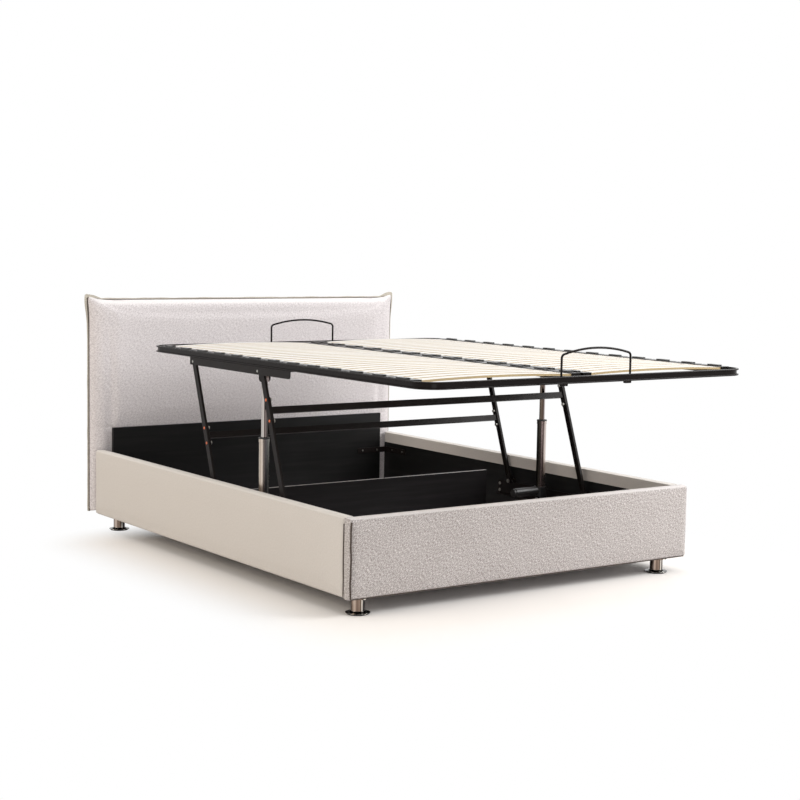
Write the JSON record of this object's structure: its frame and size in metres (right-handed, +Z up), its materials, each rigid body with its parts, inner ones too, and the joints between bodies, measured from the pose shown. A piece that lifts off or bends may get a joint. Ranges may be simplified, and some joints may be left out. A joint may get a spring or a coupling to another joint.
{
  "type": "powered storage bed with a lift-up slatted platform",
  "caption": "Upholstered double storage bed with a slatted platform that electric actuators raise level on swinging arms, shown raised over its open storage box.",
  "frame": {"origin": "on the floor, in the middle of the raised bed's overall width and length", "axes": "+X to the bed's right seen from the foot, +Y from the foot to the headboard, +Z up"},
  "size_m": [1.65, 2.4986, 1.027],
  "materials": {
    "black_board": "black foil on board, satin",
    "cover_cloth": "light beige grey woven upholstery cloth, matt",
    "headboard_cloth": "light grey woven upholstery cloth, matt",
    "core_board": "raw chipboard behind the padding",
    "floor_board": "dark grey foil on hardboard, low sheen",
    "ledge_wood": "dark stained strips under the floor",
    "foot_chrome": "polished chrome",
    "glide_rubber": "black rubber glides, matt",
    "black_steel": "black powder coat on steel",
    "frame_steel": "black powder coat on steel, slight sheen",
    "zinc_steel": "zinc plated steel",
    "actuator_plastic": "black moulded plastic",
    "actuator_tube": "plain anodised aluminium",
    "push_rod_steel": "polished steel rod",
    "slat_wood": "pale bent birch ply, thin cream film",
    "holder_plastic": "black moulded plastic"
  },
  "bodies": {
    "base": {"left_rail_board": "black_board", "right_rail_board": "black_board", "footboard_board": "black_board", "left_rail_cover": "cover_cloth", "right_rail_cover": "cover_cloth", "footboard_cover": "cover_cloth", "headboard_core": "core_board", "headboard_pad": "headboard_cloth", "headboard_back": "headboard_cloth", "head_panel": "black_board", "foot_floor_panel": "floor_board", "head_floor_panel": "floor_board", "floor_ledges": "ledge_wood", "divider": "black_board", "corner_brackets": "black_steel", "corner_bracket_screws": "zinc_steel", "front_left_foot": "foot_chrome", "front_right_foot": "foot_chrome", "rear_left_foot": "foot_chrome", "rear_right_foot": "foot_chrome", "foot_glides": "glide_rubber", "left_base_plate": "black_steel", "right_base_plate": "black_steel", "base_plate_bolts": "zinc_steel", "base_pivot_pins": "zinc_steel", "actuator_foot_pins": "zinc_steel", "control_box": "actuator_plastic"},
    "front_arms": {"front_left_arm": "black_steel", "front_right_arm": "black_steel", "front_crossbar": "black_steel", "front_crossbar_bolts": "zinc_steel"},
    "rear_arms": {"rear_left_arm": "black_steel", "rear_right_arm": "black_steel", "rear_crossbar": "black_steel", "rear_crossbar_bolts": "zinc_steel"},
    "platform": {"platform_rim": "frame_steel", "centre_rails": "frame_steel", "cross_members": "frame_steel", "left_slats": "slat_wood", "right_slats": "slat_wood", "side_slat_holders": "holder_plastic", "centre_slat_holders": "holder_plastic", "left_lift_channel": "black_steel", "right_lift_channel": "black_steel", "channel_bolts": "zinc_steel", "top_pivot_pins": "zinc_steel", "actuator_brackets": "black_steel", "head_bail": "frame_steel", "foot_bail": "frame_steel"},
    "left_actuator": {"left_gearbox": "actuator_plastic", "left_motor": "actuator_plastic", "left_housing_tube": "actuator_tube", "left_lead_screw": "zinc_steel"},
    "left_rod": {"left_push_rod": "push_rod_steel"},
    "right_actuator": {"right_gearbox": "actuator_plastic", "right_motor": "actuator_plastic", "right_housing_tube": "actuator_tube", "right_lead_screw": "zinc_steel"},
    "right_rod": {"right_push_rod": "push_rod_steel"}
  },
  "joints": [
    {"name": "lift", "type": "hinge", "parent": "base", "child": "front_arms", "pos_m": [0, -0.3707, 0.232], "axis": [-1, 0, 0], "range_deg": [0, 67.3]},
    {"name": "rear_arm_swing", "type": "hinge", "parent": "base", "child": "rear_arms", "pos_m": [0, 0.1453, 0.232], "axis": [-1, 0, 0], "range_deg": [-0.5, 67.8]},
    {"name": "platform_level", "type": "hinge", "parent": "front_arms", "child": "platform", "pos_m": [0, -0.16912, 0.795], "axis": [-1, 0, 0], "range_deg": [-67.8, 0.5]},
    {"name": "left_actuator_tilt", "type": "hinge", "parent": "base", "child": "left_actuator", "pos_m": [-0.69, -0.1267, 0.19], "axis": [-1, 0, 0], "range_deg": [-0.5, 84.25]},
    {"name": "left_rod_slide", "type": "slide", "parent": "left_actuator", "child": "left_rod", "axis": [0, 0, 1], "range_m": [-0.17804, 0.001]},
    {"name": "right_actuator_tilt", "type": "hinge", "parent": "base", "child": "right_actuator", "pos_m": [0.69, -0.1267, 0.19], "axis": [-1, 0, 0], "range_deg": [-0.5, 84.25]},
    {"name": "right_rod_slide", "type": "slide", "parent": "right_actuator", "child": "right_rod", "axis": [0, 0, 1], "range_m": [-0.17804, 0.001]}
  ],
  "couplings": [
    {"joint": "rear_arm_swing", "follows": "lift", "ratio": 1},
    {"joint": "platform_level", "follows": "lift", "ratio": -1},
    {"joint": "left_actuator_tilt", "follows": "lift", "ratio": 1.2445},
    {"joint": "left_rod_slide", "follows": "lift", "m_per_rad": -0.15072},
    {"joint": "right_actuator_tilt", "follows": "lift", "ratio": 1.2445},
    {"joint": "right_rod_slide", "follows": "lift", "m_per_rad": -0.15072}
  ]
}
